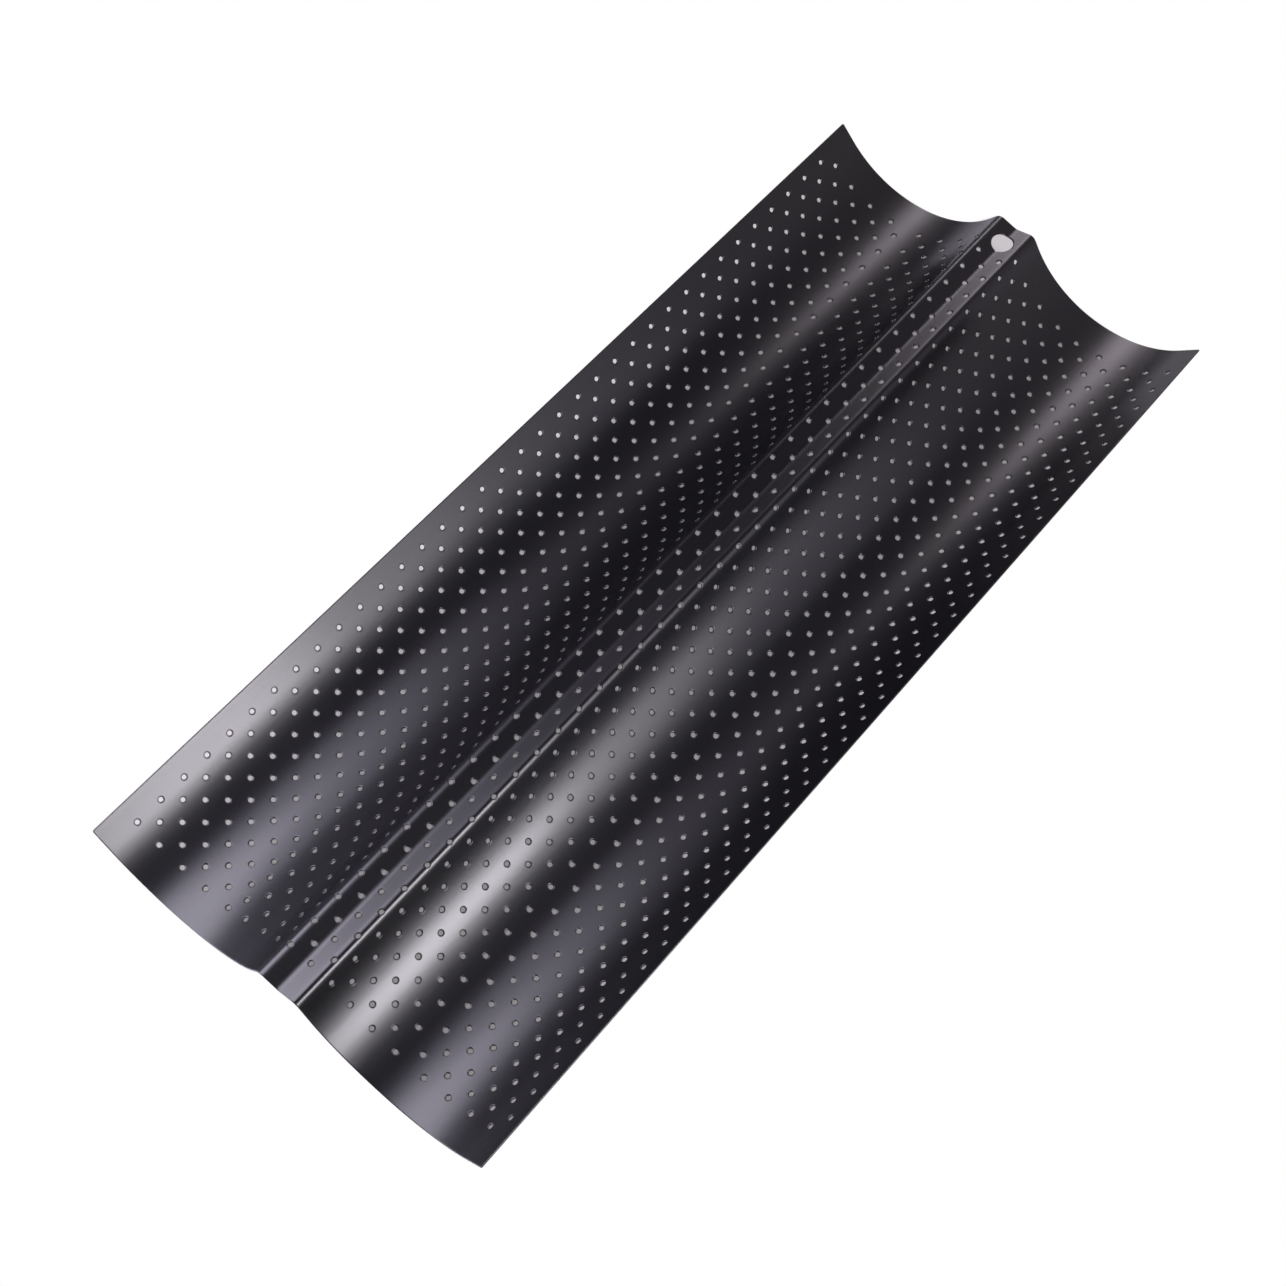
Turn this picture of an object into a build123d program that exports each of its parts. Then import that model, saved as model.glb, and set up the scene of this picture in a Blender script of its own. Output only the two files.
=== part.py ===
from build123d import *
from build123d import SkipClean
import os
from math import cos, degrees, pi, radians, sin, sqrt

# A two-trough baguette tray pressed from one perforated sheet. Millimetres, +Z up.
# X runs across the troughs and Y along them. The origin is on the table, below the
# middle of the gutter between the troughs. Profile sizes are those of the baking face.
LENGTH = 380.0
THICKNESS = 0.45

# Across the tray, outwards from the gutter centreline.
GUTTER_RADIUS = 1.5
GUTTER_SLOPE = 15.0
GUTTER_FLANK = 5.9
RIDGE_RADIUS = 2.0
WALL_SLOPE = 55.5
WALL_FLAT = 3.8
TROUGH_RADIUS = 41.4
LIP_SLOPE = 45.0
LEFT_LIP = 8.2
RIGHT_LIP = 9.5
LONGEST_LIP = max(LEFT_LIP, RIGHT_LIP)

# Round holes on a square lattice turned 45 degrees, punched in four strips of nine rows.
# Each hole is a ten-sided prism within 0.03 mm of the round one, to keep the mesh small.
HOLE_DIAMETER = 2.4
HOLE_SIDES = 10
HALF_PITCH = 5.0
ROW_PITCH = 5.03
ROWS_PER_STRIP = 9
HOLES_PER_ROW = 36
PATTERN_SHIFT = -0.4
# The strips sit slightly off each other: shift across, shift along, turn in degrees.
STRIPS = [
    (1.3, 0.0, -0.46),
    (1.7, 0.3, 0.36),
    (0.6, 0.0, 0.45),
    (0.9, -0.3, 0.0),
]

# The hanging hole is in the gutter, at the far end. Its wall rises with the gutter's two
# flanks, so it is cut as twelve arcs, each of them nearly level.
HANG_DIAMETER = 8.0
HANG_FROM_END = 8.4
HANG_ARCS = 12

CUTTER_LENGTH = 4.0


def profile_steps(lip):
    """The baking face from the gutter outwards: (length, 0) straights, (radius, turn) arcs."""
    return [
        ("arc", GUTTER_RADIUS, GUTTER_SLOPE),
        ("flat", GUTTER_FLANK, 0.0),
        ("arc", RIDGE_RADIUS, -GUTTER_SLOPE - WALL_SLOPE),
        ("flat", WALL_FLAT, 0.0),
        ("arc", TROUGH_RADIUS, WALL_SLOPE + LIP_SLOPE),
        ("flat", lip, 0.0),
    ]


def gutter_height():
    """Height of the baking face at the gutter centreline, with the troughs on the table."""
    slope = radians(GUTTER_SLOPE)
    wall = radians(WALL_SLOPE)
    rise = GUTTER_RADIUS * (1 - cos(slope)) + GUTTER_FLANK * sin(slope)
    rise = rise + RIDGE_RADIUS * (1 - cos(slope))
    fall = RIDGE_RADIUS * (1 - cos(wall)) + WALL_FLAT * sin(wall)
    fall = fall + TROUGH_RADIUS * (1 - cos(wall))
    return THICKNESS + fall - rise


def half_outline(lip, depth):
    """Edges of one half of the section, depth below the baking face, heading to +X."""
    edges = []
    point = Vector(0, gutter_height() - depth)
    heading = Vector(1, 0)
    for kind, size, turn in profile_steps(lip):
        if kind == "flat":
            edge = Line(point, point + heading * size)
        else:
            radius = size + depth if turn > 0 else size - depth
            edge = JernArc(point, heading, radius, turn)
            heading = heading.rotate(Axis.Z, turn)
        edges.append(edge)
        point = edge @ 1
    return edges


def section():
    """Closed outline of the sheet: both faces, both halves and the two cut lips."""
    upper_right = half_outline(RIGHT_LIP, 0)
    lower_right = half_outline(RIGHT_LIP, THICKNESS)
    upper_left = [edge.mirror(Plane.YZ) for edge in half_outline(LEFT_LIP, 0)]
    lower_left = [edge.mirror(Plane.YZ) for edge in half_outline(LEFT_LIP, THICKNESS)]
    right_end = Line(upper_right[-1] @ 1, lower_right[-1] @ 1)
    left_end = Line(upper_left[-1] @ 1, lower_left[-1] @ 1)
    edges = upper_right + lower_right + upper_left + lower_left + [right_end, left_end]
    return make_face(edges)


def blank():
    """The formed sheet before punching, its section swept along Y."""
    face = Plane.XZ * section()
    return extrude(face, LENGTH / 2, both=True)


def place_on_face(across):
    """X, Z and slope of the baking face at an arc length from the gutter centreline."""
    side = 1 if across >= 0 else -1
    left = abs(across)
    x = 0.0
    z = gutter_height()
    angle = 0.0
    for kind, size, turn in profile_steps(LONGEST_LIP):
        if kind == "flat":
            run = min(left, size)
            x = x + run * cos(angle)
            z = z + run * sin(angle)
        else:
            run = min(left, size * radians(abs(turn)))
            bend = 1 if turn > 0 else -1
            ahead = angle + bend * run / size
            x = x + bend * size * (sin(ahead) - sin(angle))
            z = z + bend * size * (cos(angle) - cos(ahead))
            angle = ahead
        left = left - run
    return side * x, z, side * degrees(angle)


def hole_centres():
    """Arc length across and distance along for every hole of the pattern."""
    middle = (len(STRIPS) * ROWS_PER_STRIP - 1) / 2
    last = 2 * HOLES_PER_ROW - 1
    centres = []
    for strip, (shift_across, shift_along, turn) in enumerate(STRIPS):
        strip_row = strip * ROWS_PER_STRIP + (ROWS_PER_STRIP - 1) / 2
        strip_across = (strip_row - middle) * ROW_PITCH + shift_across
        for row in range(ROWS_PER_STRIP):
            number = strip * ROWS_PER_STRIP + row
            local_across = (number - strip_row) * ROW_PITCH
            for hole in range(number % 2, last + 1, 2):
                local_along = (hole - last / 2) * HALF_PITCH
                across = strip_across + local_across + sin(radians(turn)) * local_along
                along = local_along + shift_along - sin(radians(turn)) * local_across
                centres.append((across, along + PATTERN_SHIFT))
    return centres


def punch():
    """The punch of one perforation, with the area of the round hole."""
    corner_radius = HOLE_DIAMETER / 2 / sqrt(cos(pi / HOLE_SIDES))
    return extrude(RegularPolygon(corner_radius, HOLE_SIDES), CUTTER_LENGTH / 2, both=True)


def hole_cutter(across, along):
    """The punch square to the face at one place of the pattern."""
    x, z, slope = place_on_face(across)
    return Location((x, along, z), (0, -slope, 0)) * punch()


def hanging_cutters():
    """The upright punch of the hanging hole, in sectors."""
    spot = Location((0, LENGTH / 2 - HANG_FROM_END, gutter_height()))
    turn = 360 / HANG_ARCS
    upright = (Align.NONE, Align.NONE, Align.CENTER)
    sector = Cylinder(HANG_DIAMETER / 2, 2 * CUTTER_LENGTH, arc_size=turn, align=upright)
    return [spot * Rotation(0, 0, turn * step) * sector for step in range(HANG_ARCS)]


def tray_sheet():
    """The whole pressed and perforated sheet."""
    sheet = blank()
    cutters = [hole_cutter(across, along) for across, along in hole_centres()]
    with SkipClean():
        return sheet - (cutters + hanging_cutters())


os.makedirs("parts", exist_ok=True)
export_step(tray_sheet(), "parts/tray_sheet.step", write_pcurves=False)
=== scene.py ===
import math

import bpy
import numpy as np
from mathutils import Euler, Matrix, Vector, geometry

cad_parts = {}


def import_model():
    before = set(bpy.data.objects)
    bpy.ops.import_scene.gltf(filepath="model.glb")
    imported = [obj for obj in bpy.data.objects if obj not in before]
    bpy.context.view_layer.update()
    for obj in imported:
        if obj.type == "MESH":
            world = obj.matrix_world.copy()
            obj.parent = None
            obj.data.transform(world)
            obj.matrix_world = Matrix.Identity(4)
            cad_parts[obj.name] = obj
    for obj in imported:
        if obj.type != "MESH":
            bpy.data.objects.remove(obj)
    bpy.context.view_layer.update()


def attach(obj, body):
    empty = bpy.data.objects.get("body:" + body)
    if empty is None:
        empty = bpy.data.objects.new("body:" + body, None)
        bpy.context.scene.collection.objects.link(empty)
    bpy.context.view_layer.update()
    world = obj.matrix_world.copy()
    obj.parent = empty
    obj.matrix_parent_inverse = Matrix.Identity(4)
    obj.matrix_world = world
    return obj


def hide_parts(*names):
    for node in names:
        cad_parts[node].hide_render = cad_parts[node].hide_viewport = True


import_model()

MM = 0.001

# The pressed sheet, in millimetres. Bends are (radius, turn in degrees), and a pair is
# (left, right): the left ridge is pressed a little softer.
LENGTH = 380.0
THICKNESS = 0.45
GUTTER = (1.5, 15.0)
GUTTER_FLANK = 5.8
RIDGE = ((2.3, 50.0), (2.0, 52.0))
RIDGE_FOOT = ((4.5, 20.5), (4.0, 18.5))
WALL_FLAT = (2.90, 3.15)
TROUGH = (41.4, 100.5)
LEFT_LIP = 7.95
RIGHT_LIP = 9.5

# The clear opening of a perforation, inside its rolled rim, and the pattern's lattice.
HOLE_RADIUS = 0.80
HALF_PITCH = 5.0
ROW_PITCH = 5.03
ROWS_PER_STRIP = 9
HOLES_PER_ROW = 36
PATTERN_SHIFT = -0.4
# Each strip of rows: shift across, shift along, turn in degrees.
STRIPS = [(1.3, 0.0, -0.46), (1.7, 0.3, 0.36), (0.6, 0.0, 0.45), (0.9, -0.3, 0.0)]
HANG_RADIUS = 4.0
HANG_SPOT = (0.0, 180.8)
# A perforation nearer than this to the hanging hole's edge opens into it.
NOTCH_REACH = 0.4
# How far around those two circles the mesh between them is looked at.
NOTCH_ROOM = 1.0

# How far along the section each bend eases in and out, and the section table's fineness.
EASE = 0.6
TABLE_STEP = 0.01
TABLE_REACH = 125.0
# Longer than either lip, so that the table runs past both cut edges.
LIP_REACH = 40.0

# Cut edges rounded by the punch and the coat: roll at the top, its depth, burr below.
RIM = (0.46, 0.34, 0.06)
SHEAR = (0.30, 0.22, 0.08)
CORNER = 0.6

# Fineness of the mesh: points around the holes and along the long edges, degrees to a
# strip in wide and in tight bends, millimetres to a strip on short and on long flats.
RING = 24
HANG_RING = 64
EDGE_POINTS = 190
WIDE_TURN, TIGHT_TURN = 3.2, 8.0
SHORT_FLAT, LONG_FLAT = 0.75, 2.0
SHORTEST_WIDE = 10.0
# Half width of the folded middle, and the points' spacing along the tray there and elsewhere.
MIDDLE = 13.0
MIDDLE_SPACING, SPACING = 0.9, 2.5
# Room kept free of extra points: beside the edges, and beside holes in and out of the middle.
EDGE_GAP = 1.2
MIDDLE_GAP, HOLE_GAP = 0.30, 0.55


# ---------------------------------------------------------------- the section
def section_steps(side):
    """Arc length and bend of each stretch of one side's baking face, gutter to lip."""
    ridge, foot = RIDGE[side], RIDGE_FOOT[side]
    return [
        (GUTTER[0] * math.radians(GUTTER[1]), math.radians(GUTTER[1])),
        (GUTTER_FLANK, 0.0),
        (ridge[0] * math.radians(ridge[1]), -math.radians(ridge[1])),
        (foot[0] * math.radians(foot[1]), -math.radians(foot[1])),
        (WALL_FLAT[side], 0.0),
        (TROUGH[0] * math.radians(TROUGH[1]), math.radians(TROUGH[1])),
        (LIP_REACH, 0.0),
    ]


def section_table(side):
    """Fine table of the section: arc length, x, z and slope, z = 0 at the trough bottom."""
    step = TABLE_STEP
    run = np.arange(0.0, TABLE_REACH, step)
    slope = np.zeros_like(run)
    start, angle = 0.0, 0.0
    for length, bend in section_steps(side):
        inside = run >= start
        slope[inside] = angle + bend * np.clip((run[inside] - start) / length, 0, 1)
        start, angle = start + length, angle + bend
    # Pressed sheet has no sudden change of bend: ease the slope along the section.
    reach = round(4 * EASE / step)
    weight = np.exp(-0.5 * (np.arange(-reach, reach + 1) * step / EASE) ** 2)
    padded = np.concatenate([-slope[reach:0:-1], slope, np.full(reach, slope[-1])])
    slope = np.convolve(padded, weight / weight.sum(), "valid")
    middle = (slope[1:] + slope[:-1]) / 2
    x = np.concatenate([[0.0], np.cumsum(np.cos(middle) * step)])
    z = np.concatenate([[0.0], np.cumsum(np.sin(middle) * step)])
    return run, x, z - z.min(), slope


LEFT, RIGHT = 0, 1
SECTION = (section_table(LEFT), section_table(RIGHT))


def place(across, along, depth):
    """World points (mm) at a depth below the baking face, and the face's normals."""
    side = np.sign(across)
    left, right = [
        [np.interp(np.abs(across), table[0], column) for column in table[1:]] for table in SECTION
    ]
    x, z, slope = [np.where(across < 0, a, b) for a, b in zip(left, right)]
    x, z, slope = side * x, z + THICKNESS, side * slope
    normal = np.stack([-np.sin(slope), np.zeros_like(slope), np.cos(slope)], 1)
    point = np.stack([x, along, z], 1) - normal * np.reshape(depth, (-1, 1))
    return point, normal


# ---------------------------------------------------------------- the blank
def hole_centres():
    """Arc length across and distance along of every perforation."""
    out = []
    middle = (len(STRIPS) * ROWS_PER_STRIP - 1) / 2
    last = 2 * HOLES_PER_ROW - 1
    for strip, (across, along, turn) in enumerate(STRIPS):
        centre = strip * ROWS_PER_STRIP + (ROWS_PER_STRIP - 1) / 2
        lean = math.sin(math.radians(turn))
        for row in range(strip * ROWS_PER_STRIP, (strip + 1) * ROWS_PER_STRIP):
            off = (row - centre) * ROW_PITCH
            for hole in range(row % 2, last + 1, 2):
                y = (hole - last / 2) * HALF_PITCH
                out.append((
                    (centre - middle) * ROW_PITCH + across + off + lean * y,
                    y + along - lean * off + PATTERN_SHIFT,
                ))
    return np.array(out)


def blank_outline():
    """Arc length of the left and right cut edges, and y of the near and far ends."""
    left, right = [sum(length for length, _ in section_steps(side)[:-1]) for side in (LEFT, RIGHT)]
    return -left - LEFT_LIP, right + RIGHT_LIP, -LENGTH / 2, LENGTH / 2


def fold_lines():
    """Arc lengths across the sheet where the mesh needs a row of points to follow the bends."""
    left, right = [fold_marks(side) for side in (LEFT, RIGHT)]
    return np.concatenate([-left[::-1], [0.0], right])


def fold_marks(side):
    """The same for one side, counted outwards from the gutter."""
    marks = []
    start = 0.0
    for length, bend in section_steps(side):
        end = start + length
        if bend:
            step = math.radians(WIDE_TURN if length > SHORTEST_WIDE else TIGHT_TURN)
            count = max(2, round(abs(bend) / step))
        else:
            step = SHORT_FLAT if length < SHORTEST_WIDE else LONG_FLAT
            count = max(1, round(length / step))
        marks += [start + length * k / count for k in range(1, count + 1)]
        start = end
    return np.array(marks)


def sheet_mesh():
    """One closed sheet: both faces triangulated between the holes, walls and edges rounded."""
    holes = hole_centres()
    hang = np.array(HANG_SPOT)
    cuts_rim = np.hypot(*(holes - hang).T) < HANG_RADIUS + HOLE_RADIUS + NOTCH_REACH
    notch, holes = holes[cuts_rim][0], holes[~cuts_rim]
    outline = blank_outline()

    loops = [(perforation(c), 1.0) for c in holes]
    loops.append((notched_hole(hang, notch), 1.0))
    loops.append((cut_outline(*outline), -1.0))
    xy, depth, turn, aim, quads, top, low = [], [], [], [], [], [], []
    count = 0
    for shape, sign in loops:
        names = []
        for inset, down, tilt in rim_rings(*(RIM if sign > 0 else SHEAR)):
            points, outward = shape(sign * inset)
            xy.append(points)
            aim.append(-sign * outward)
            depth.append(np.full(len(points), down))
            turn.append(np.full(len(points), tilt))
            names.append(np.arange(count, count + len(points)))
            count += len(points)
        top.append(names[0])
        low.append(names[-1])
        for a, b in zip(names, names[1:]):
            a2, b2 = np.roll(a, -1), np.roll(b, -1)
            quads.append(np.stack([a, a2, b2, b] if sign > 0 else [a, b, b2, a2], 1))

    ring_xy = np.concatenate(xy)
    keep_off = np.concatenate([holes, [notch]])
    tris, extra = triangulate(ring_xy, top, keep_off, hang, outline)
    extra_top = count + np.arange(len(extra))
    names_top = np.concatenate(top + [extra_top])
    names_low = np.concatenate(low + [extra_top + len(extra)])
    tris = np.concatenate([names_top[tris], names_low[tris][:, ::-1]])

    xy = np.concatenate([ring_xy, extra, extra])
    level = np.zeros(len(extra))
    depth = np.concatenate(depth + [level, level + THICKNESS])
    turn = np.concatenate(turn + [level, level + math.pi])
    aim = np.concatenate(aim + [np.zeros((2 * len(extra), 2))])
    point, normal = place(xy[:, 0], xy[:, 1], depth)
    across = np.stack([normal[:, 2], np.zeros(len(normal)), -normal[:, 0]], 1)
    sideways = across * aim[:, :1] + np.array([0.0, 1.0, 0.0]) * aim[:, 1:]
    shade = normal * np.cos(turn)[:, None] + sideways * np.sin(turn)[:, None]
    shade /= np.linalg.norm(shade, axis=1, keepdims=True)
    return point, shade, np.concatenate(quads), tris, xy, depth


def perforation(centre):
    """Outline of a round hole, for any inset of its rim."""
    angle = np.arange(RING) * 2 * math.pi / RING
    spokes = np.stack([np.cos(angle), np.sin(angle)], 1)
    return lambda inset: (centre + spokes * (HOLE_RADIUS + inset), spokes)


def notched_hole(hang, notch):
    """Outline of the hanging hole with the perforation that runs into its edge."""
    apart = np.hypot(*(notch - hang))
    facing = math.atan2(*(notch - hang)[::-1])

    def shape(inset):
        big, small = HANG_RADIUS + inset, HOLE_RADIUS + inset
        open_big = math.acos((big**2 + apart**2 - small**2) / (2 * apart * big))
        open_small = math.acos((small**2 + apart**2 - big**2) / (2 * apart * small))
        round_big = facing + np.linspace(open_big, 2 * math.pi - open_big, HANG_RING)
        round_small = facing + math.pi + np.linspace(open_small, 2 * math.pi - open_small, RING)
        out_big = np.stack([np.cos(round_big), np.sin(round_big)], 1)
        out_small = np.stack([np.cos(round_small), np.sin(round_small)], 1)[1:-1]
        points = np.concatenate([hang + big * out_big, notch + small * out_small])
        return points, np.concatenate([out_big, out_small])

    return shape


def rim_rings(roll, sink, burr):
    """Rings of a rounded cut edge: inset from the wall, depth, and turn of the normal.

    The turn goes from 0 on the baking face, through 90 on the wall, to 180 underneath.
    """
    out = []
    for turn in (0, 22, 45, 68, 90):
        t = math.radians(turn)
        out.append((roll * (1 - math.sin(t)), sink * (1 - math.cos(t)), t))
    for turn in (90, 135, 180):
        t = math.radians(turn)
        out.append((burr * (1 - math.sin(t)), THICKNESS - burr * (1 + math.cos(t)), t))
    return out


def cut_outline(left, right, near, far):
    """The sheet's cut outline, walked counter-clockwise, with its corners just rounded."""
    corner = CORNER
    runs = fold_lines()
    runs = runs[(runs > left + corner + MIDDLE_GAP) & (runs < right - corner - MIDDLE_GAP)]
    runs = np.concatenate([[left + corner], runs, [right - corner]])
    ys = np.linspace(near + corner, far - corner, EDGE_POINTS)
    sides = [((r, near), (0, -1)) for r in runs]
    sides += corner_arc(right - corner, near + corner, corner, -90)
    sides += [((right, y), (1, 0)) for y in ys]
    sides += corner_arc(right - corner, far - corner, corner, 0)
    sides += [((r, far), (0, 1)) for r in runs[::-1]]
    sides += corner_arc(left + corner, far - corner, corner, 90)
    sides += [((left, y), (-1, 0)) for y in ys[::-1]]
    sides += corner_arc(left + corner, near + corner, corner, 180)
    points = np.array([p for p, _ in sides], float)
    outward = np.array([d for _, d in sides], float)
    return lambda inset: (points + outward * inset, outward)


def corner_arc(x, y, radius, start):
    """Points inside a quarter turn, without its two ends."""
    out = []
    for k in range(1, 5):
        a = math.radians(start + 18 * k)
        d = (math.cos(a), math.sin(a))
        out.append(((x + radius * d[0], y + radius * d[1]), d))
    return out


def triangulate(ring_xy, loops, holes, hang, outline):
    """Triangles between the loops, and the extra points that follow the bends."""
    left, right, near, far = outline
    loop_points = ring_xy[np.concatenate(loops)]
    edges, owner = [], []
    for loop in loops:
        first = len(owner)
        edges += [(first + k, first + (k + 1) % len(loop)) for k in range(len(loop))]
        owner += [first] * len(loop)
    runs = fold_lines()
    runs = runs[(runs > left + EDGE_GAP) & (runs < right - EDGE_GAP)]
    extra = []
    for r in runs:
        bend = abs(r) < MIDDLE
        count = int((far - near) / (MIDDLE_SPACING if bend else SPACING))
        ys = np.linspace(near + EDGE_GAP, far - EDGE_GAP, count)
        points = np.stack([np.full(len(ys), r), ys], 1)
        gap = RIM[0] + (MIDDLE_GAP if bend else HOLE_GAP)
        clear = np.hypot(*(points - hang).T) > HANG_RADIUS + gap
        for c in holes[np.abs(holes[:, 0] - r) < HOLE_RADIUS + gap]:
            clear &= np.hypot(*(points - c).T) > HOLE_RADIUS + gap
        names = np.nonzero(clear)[0]
        first = len(owner) + len(extra)
        extra += list(points[names])
        if bend:
            edges += [(first + k, first + k + 1) for k in np.nonzero(np.diff(names) == 1)[0]]
    extra = np.array(extra)
    xy = np.concatenate([loop_points, extra])
    made = geometry.delaunay_2d_cdt([Vector(p) for p in xy.tolist()], edges, [], 0, 1e-7, True)
    if len(made[0]) != len(xy):
        raise RuntimeError("the triangulation added points")
    first_name = np.array([names[0] for names in made[3]])
    tris = first_name[np.array([list(f) for f in made[2]])]

    # A triangle with all its corners on one opening's loop lies inside that opening,
    # except for slivers beside the notch, whose middles are outside both of its circles.
    owner = np.array(owner + [-1 - k for k in range(len(extra))])
    a, b, c = owner[tris].T
    middle = xy[tris].mean(1)
    void = (a == b) & (b == c) & (a != owner[len(loop_points) - 1])
    beside = np.hypot(*(middle - hang).T) < HANG_RADIUS + NOTCH_ROOM
    beside |= np.hypot(*(middle - holes[-1]).T) < HOLE_RADIUS + NOTCH_ROOM
    solid = np.hypot(*(middle - hang).T) > HANG_RADIUS + RIM[0]
    solid &= np.hypot(*(middle - holes[-1]).T) > HOLE_RADIUS + RIM[0]
    void &= ~(beside & solid)
    outside = (middle[:, 0] > right) | (middle[:, 0] < left)
    outside |= (middle[:, 1] < near) | (middle[:, 1] > far)
    tris = tris[~(void | outside)]
    corner = xy[tris]
    ab, ac = corner[:, 1] - corner[:, 0], corner[:, 2] - corner[:, 0]
    flip = ab[:, 0] * ac[:, 1] - ab[:, 1] * ac[:, 0] < 0
    tris[flip] = tris[flip][:, ::-1]
    return tris, extra


def build_sheet():
    """The sheet as an object, with its place on the flat blank kept for the coating."""
    point, shade, quads, tris, blank, depth = sheet_mesh()
    mesh = bpy.data.meshes.new("tray_sheet_formed")
    faces = [tuple(int(v) for v in q) for q in quads] + [tuple(int(v) for v in t) for t in tris]
    mesh.from_pydata((point * MM).tolist(), [], faces)
    mesh.update()
    mesh.shade_smooth()
    mesh.normals_split_custom_set_from_vertices([tuple(n) for n in shade])
    for name, values in (("across", blank[:, 0]), ("along", blank[:, 1]), ("depth", depth)):
        field = mesh.attributes.new(name, "FLOAT", "POINT")
        field.data.foreach_set("value", (values * MM).astype(np.float32))
    sheet = bpy.data.objects.new("tray_sheet_formed", mesh)
    bpy.context.scene.collection.objects.link(sheet)
    return sheet


# ---------------------------------------------------------------- materials
# The coating, and the metal that shows where it has worn.
COAT = (0.0020, 0.0018, 0.0026, 1)
BARE = (0.030, 0.026, 0.024, 1)
COAT_ROUGHNESS = 0.285
COAT_IOR = 1.54
# How much bare metal shows on worn rims and in the flecks.
WORN_SHARE, FLECK_SHARE = 0.55, 0.10
# Height of the bumps in metres, and of the long ripples beside the round dimples.
BUMP_HEIGHT = 0.000008
RIPPLE_HEIGHT = 2.0
# The line along the left lip: distance from the edge, half width in mm, and height.
LIP_LINE = (2.4, 0.9, -1.6)


class Nodes:
    """Short helpers for building a node tree."""

    def __init__(self, tree):
        self.tree = tree

    def put(self, value, socket):
        if isinstance(value, bpy.types.NodeSocket):
            self.tree.links.new(value, socket)
        else:
            socket.default_value = value

    def add(self, kind, inputs=(), **settings):
        made = self.tree.nodes.new(kind)
        for name, value in settings.items():
            setattr(made, name, value)
        for name, value in dict(inputs).items():
            self.put(value, made.inputs[name])
        return made

    def math(self, operation, a, b=0.0, c=0.0):
        made = self.add("ShaderNodeMath", {0: a, 1: b, 2: c}, operation=operation)
        return made.outputs[0]

    def fade(self, value, start, end, low=0.0, high=1.0):
        """Smooth step from low to high as value goes from start to end."""
        inputs = {"Value": value, "From Min": start, "From Max": end, "To Min": low, "To Max": high}
        made = self.add("ShaderNodeMapRange", inputs, interpolation_type="SMOOTHSTEP")
        return made.outputs[0]

    def ramp(self, value, stops):
        """Tone along a line: stops are (position, tone), positions in any unit."""
        first, last = stops[0][0], stops[-1][0]
        inputs = {"Value": value, "From Min": first, "From Max": last}
        spread = self.add("ShaderNodeMapRange", inputs)
        made = self.add("ShaderNodeValToRGB", {"Fac": spread.outputs[0]})
        points = made.color_ramp.elements
        while len(points) < len(stops):
            points.new(0.5)
        for point, (position, _) in zip(points, stops):
            point.position = (position - first) / (last - first)
        for point, (_, tone) in zip(points, stops):
            point.color = (tone, tone, tone, 1)
        return made.outputs["Color"]


def coating_material():
    """Satin dark non-stick coating: faint flecks, dimples and ripples, worn cut edges."""
    material = bpy.data.materials.new("satin_nonstick_coating")
    material.use_nodes = True
    n = Nodes(material.node_tree)
    shader = material.node_tree.nodes["Principled BSDF"]

    def field(name):
        value = n.add("ShaderNodeAttribute", attribute_name=name).outputs["Fac"]
        return n.math("MULTIPLY", value, 1000.0)

    across, along, depth = field("across"), field("along"), field("depth")
    where = n.add("ShaderNodeCombineXYZ", {0: across, 1: along, 2: depth}).outputs[0]

    def noise(scale, detail=2.0, stretch=1.0):
        """Noise with about scale cells to the millimetre, stretched along the tray."""
        shape = (1, 1 / stretch, 1)
        spot = n.add("ShaderNodeVectorMath", {0: where, 1: shape}, operation="MULTIPLY")
        inputs = {"Vector": spot.outputs[0], "Scale": scale, "Detail": detail, "Roughness": 0.55}
        return n.add("ShaderNodeTexNoise", inputs).outputs["Fac"]

    def varied(value, pattern, amount):
        return n.math("MULTIPLY_ADD", n.math("SUBTRACT", pattern, 0.5), amount, value)

    speckle = noise(4.5, detail=1.0)
    dimple = noise(0.6, detail=1.0)
    drift = noise(0.035, detail=3.0, stretch=2.5)
    ripple = noise(0.25, stretch=40.0)

    # The coat is thinnest where the sheet was cut: on the hole rims and the outer edges.
    face = n.math("MINIMUM", depth, n.math("SUBTRACT", THICKNESS, depth))
    worn = n.math("MULTIPLY", n.fade(face, 0.03, 0.12), n.fade(noise(1.6), 0.35, 0.75))
    fleck = n.math("MULTIPLY", n.fade(speckle, 0.66, 0.78), FLECK_SHARE)
    bare = n.math("MAXIMUM", n.math("MULTIPLY", worn, WORN_SHARE), fleck)
    color = n.add("ShaderNodeMix", {0: bare, 6: COAT, 7: BARE}, data_type="RGBA")
    n.put(color.outputs[2], shader.inputs["Base Color"])

    rough = varied(COAT_ROUGHNESS, drift, 0.05)
    rough = varied(rough, ripple, 0.02)
    rough = varied(rough, speckle, 0.06)
    n.put(n.math("MULTIPLY_ADD", worn, 0.08, rough), shader.inputs["Roughness"])
    shader.inputs["IOR"].default_value = COAT_IOR

    height = n.math("MULTIPLY_ADD", ripple, RIPPLE_HEIGHT, dimple)
    # A faint line rolled along the left lip, just inside its edge.
    inset, half_width, drop = LIP_LINE
    beside = n.math("ABSOLUTE", n.math("SUBTRACT", across, blank_outline()[0] + inset))
    height = n.math("ADD", height, n.fade(beside, 0.0, half_width, drop, 0.0))
    bump = {"Height": height, "Strength": 1.0, "Distance": BUMP_HEIGHT}
    n.put(n.add("ShaderNodeBump", bump).outputs[0], shader.inputs["Normal"])
    return material


# ---------------------------------------------------------------- stage
FLOOR_REACH = 6.0
# Painted shadow tone of the floor under the tray, seen through the holes: (x in mm, tone).
FLOOR_SHADOW_TONES = [
    (-85, 0.72), (-75, 0.60), (-66, 0.41), (-55, 0.36), (-42, 0.27), (-22, 0.21),
    (-14, 0.27), (30, 0.26), (50, 0.31), (68, 0.46), (76, 0.36),
]
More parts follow.
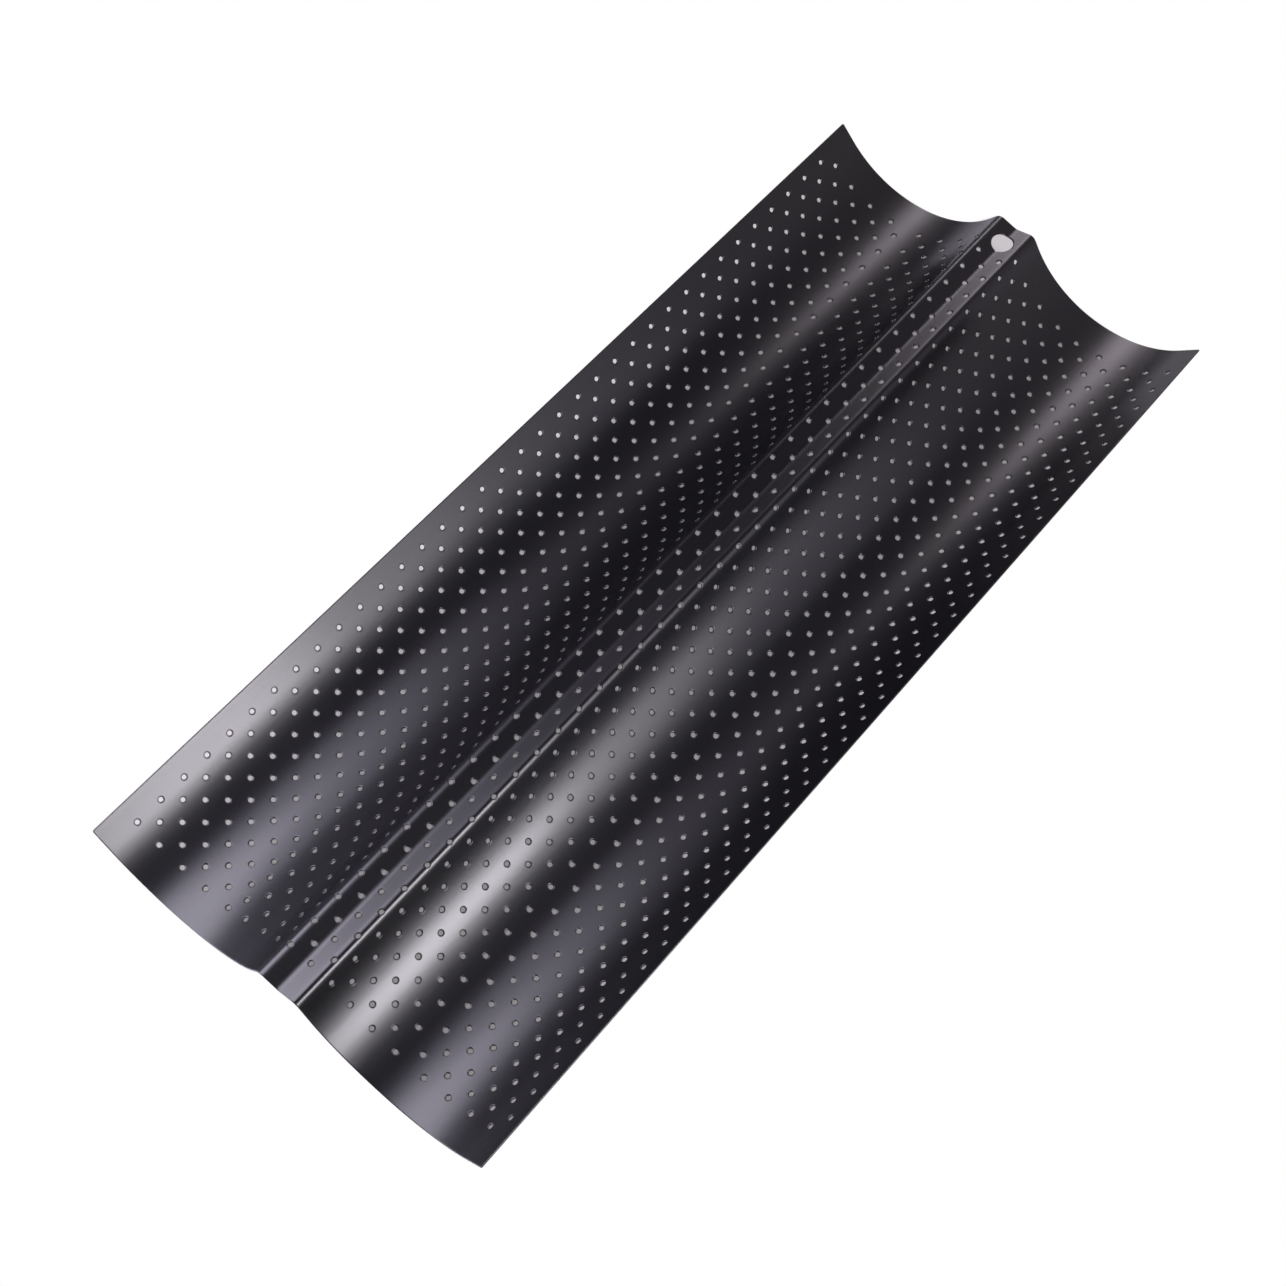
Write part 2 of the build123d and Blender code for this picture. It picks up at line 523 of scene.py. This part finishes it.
# How that painted shadow tone changes along the tray: darker to the far left, and to both right
# ends.
TONE_REACH = 175.0
LEFT_FALL, RIGHT_ARCH = -0.17, -0.30
# Light that spills in under the gutter at the far end: (from y, to y, how much).
SPILLS = [(155.0, 186.0, 0.12), (187.0, 196.0, 0.19)]
# How much of the floor behind its far end the tray hides, from 0 to 1 of a reach in mm.
HIDDEN = [
    (-88, 0.55), (-62, 0.03), (-26, 0.03), (-17, 0.8), (3, 0.8), (15, 0.2), (25, 0.03),
    (55, 0.03), (77, 0.5),
]
HIDDEN_REACH = 20.0
# Where the shade ends, as (white, full shade): at the left, the right, the near and far end.
SHADE_LEFT, SHADE_RIGHT = (-88.0, -84.8), (76.0, 74.0)
SHADE_NEAR, SHADE_FAR = (-186.0, -180.0), (190.8, 186.5)
PAINTED_SHADOW_TINT = (1.02, 0.97, 1.01)


def floor_material():
    """Pale floor, blown out to white around the tray, with a soft shadow and a light spill painted
    on it under the tray.
    """
    material = bpy.data.materials.new("pale_floor_painted_shadow")
    material.use_nodes = True
    n = Nodes(material.node_tree)
    output = material.node_tree.nodes["Material Output"]
    shader = material.node_tree.nodes["Principled BSDF"]
    shader.inputs["Base Color"].default_value = (0.82, 0.81, 0.82, 1)
    shader.inputs["Roughness"].default_value = 0.9

    where = n.add("ShaderNodeSeparateXYZ", {0: n.add("ShaderNodeNewGeometry").outputs["Position"]})
    x = n.math("MULTIPLY", where.outputs["X"], 1000.0)
    y = n.math("MULTIPLY", where.outputs["Y"], 1000.0)
    stretch = n.math("DIVIDE", y, TONE_REACH)
    leftwards = n.fade(x, 0.0, -40.0)
    rightwards = n.fade(x, 20.0, 60.0)
    falling = n.math("MULTIPLY_ADD", n.math("MULTIPLY", stretch, leftwards), LEFT_FALL, 1.0)
    arched = n.math("MULTIPLY", n.math("MULTIPLY", stretch, stretch), rightwards)
    # Painted shadow: the floor's tone under the tray, darker towards the far left and the right
    # ends.
    tone = n.math("MULTIPLY", n.ramp(x, FLOOR_SHADOW_TONES), falling)
    tone = n.math("MULTIPLY", tone, n.math("MULTIPLY_ADD", arched, RIGHT_ARCH, 1.0))
    middle = n.fade(n.math("ABSOLUTE", n.math("ADD", x, 5.0)), 40.0, 8.0)
    # Painted light spill: the floor under the gutter's far end is painted lighter.
    for start, end, amount in SPILLS:
        painted_light_spill = n.math("MULTIPLY", n.fade(y, start, end), middle)
        tone = n.math("MULTIPLY_ADD", painted_light_spill, amount, tone)

    # Mask of the painted shadow: white floor outside it, painted shade inside.
    painted_shade_mask = n.math("MULTIPLY", n.fade(x, *SHADE_LEFT), n.fade(x, *SHADE_RIGHT))
    painted_shade_mask = n.math("MULTIPLY", painted_shade_mask, n.fade(y, *SHADE_NEAR))
    past = n.math("MULTIPLY_ADD", n.ramp(x, HIDDEN), -HIDDEN_REACH, y)
    painted_shade_mask = n.math("MULTIPLY", painted_shade_mask, n.fade(past, *SHADE_FAR))
    shade = n.add("ShaderNodeVectorMath", {0: PAINTED_SHADOW_TINT, "Scale": tone}, operation="SCALE")
    colors = {0: painted_shade_mask, 6: (1, 1, 1, 1), 7: shade.outputs[0]}
    painted = n.add("ShaderNodeMix", colors, data_type="RGBA")

    # Only the camera sees the painted shadow and light spill, which glow as emission; the tray sees
    # a plain lit floor.
    glow = n.add("ShaderNodeEmission", {"Color": painted.outputs[2], "Strength": 1.0})
    seen = n.add("ShaderNodeLightPath").outputs["Is Camera Ray"]
    mixed = n.add("ShaderNodeMixShader", {0: seen, 1: shader.outputs[0], 2: glow.outputs[0]})
    n.put(mixed.outputs[0], output.inputs["Surface"])
    return material


def stage():
    """The floor: one large square at table height."""
    mesh = bpy.data.meshes.new("studio_floor")
    size = FLOOR_REACH
    corners = [(-size, -size, 0), (size, -size, 0), (size, size, 0), (-size, size, 0)]
    mesh.from_pydata(corners, [], [(0, 1, 2, 3)])
    floor = bpy.data.objects.new("studio_floor", mesh)
    bpy.context.scene.collection.objects.link(floor)
    mesh.materials.append(floor_material())


# The lamps' faint tints, on the coating as a slight violet and, from behind, a warm grey.
NEUTRAL = (1.0, 0.96, 1.035)
COOL = (0.965, 0.925, 1.11)
WARM = (1.03, 0.935, 1.035)
# The point in metres that every lamp faces: the middle of the tray, at ridge height.
AIM = (0, 0, 0.0207)
# Name, azimuth, elevation, distance, width, height, roll, radiance and tint.
LAMPS = [
    ("strip_right", 114.4, 29.6, 265, 175, 72, 13.7, 15.5, NEUTRAL),
    ("soft_right", 91.0, 33.2, 337, 249, 207, 14.4, 3.5, NEUTRAL),
    ("fill_right", 60.3, 32.2, 350, 194, 366, -32.4, 0.65, COOL),
    ("strip_left", 212.7, 27.4, 275, 189, 432, 8.2, 5.64, COOL),
    ("soft_left", 251.0, 58.9, 400, 208, 405, -10.8, 2.02, COOL),
    ("fill_left", 256.7, 26.7, 210, 174, 523, 29.3, 0.28, COOL),
    ("strip_back", 330.5, 2.2, 1692, 589, 2855, -2.4, 5.9, WARM),
    ("glow_back", 20.3, 19.0, 1701, 2821, 1956, 20.0, 0.46, WARM),
]
WORLD_STRENGTH = 0.03


def softbox(name, azimuth, elevation, distance, width, height, roll, radiance, tint):
    """An area light facing the tray: azimuth from +Y towards +X, degrees and millimetres."""
    az, el = math.radians(azimuth), math.radians(elevation)
    out = Vector((math.cos(el) * math.sin(az), math.cos(el) * math.cos(az), math.sin(el)))
    light = bpy.data.lights.new(name, "AREA")
    light.shape = "RECTANGLE"
    light.color = tint
    light.size = width * MM
    light.size_y = height * MM
    light.energy = radiance * math.pi * width * height * MM * MM
    lamp = bpy.data.objects.new(name, light)
    bpy.context.scene.collection.objects.link(lamp)
    lamp.location = out * distance * MM + Vector(AIM)
    turn = out.to_track_quat("Z", "Y").to_euler()
    turn.rotate_axis("Z", math.radians(roll))
    lamp.rotation_euler = turn


def world():
    """A faint even light from all round."""
    made = bpy.data.worlds.new("studio")
    made.use_nodes = True
    background = made.node_tree.nodes["Background"]
    background.inputs["Color"].default_value = (*COOL, 1)
    background.inputs["Strength"].default_value = WORLD_STRENGTH
    bpy.context.scene.world = made


# The camera: lens and sensor in millimetres, sideways and upward shift as shares of the
# frame's width, place in metres and turns in degrees.
LENS, SENSOR = 58.11, 36.0
SHIFT = (-0.0401, -0.0110)
EYE_AT = (0.2016, -0.2801, 0.6152)
EYE_TURN = (28.40, -2.38, 39.43)


def camera():
    """The camera, high above the tray and off its near right corner."""
    data = bpy.data.cameras.new("camera")
    data.lens = LENS
    data.sensor_width = SENSOR
    data.shift_x, data.shift_y = SHIFT
    eye = bpy.data.objects.new("camera", data)
    bpy.context.scene.collection.objects.link(eye)
    eye.location = EYE_AT
    eye.rotation_euler = Euler([math.radians(turn) for turn in EYE_TURN], "XYZ")
    bpy.context.scene.camera = eye


sheet = build_sheet()
sheet.data.materials.append(coating_material())
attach(sheet, "root")
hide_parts("tray_sheet")

stage()
for lamp in LAMPS:
    softbox(*lamp)
world()
bpy.context.scene.view_settings.view_transform = "Standard"
camera()
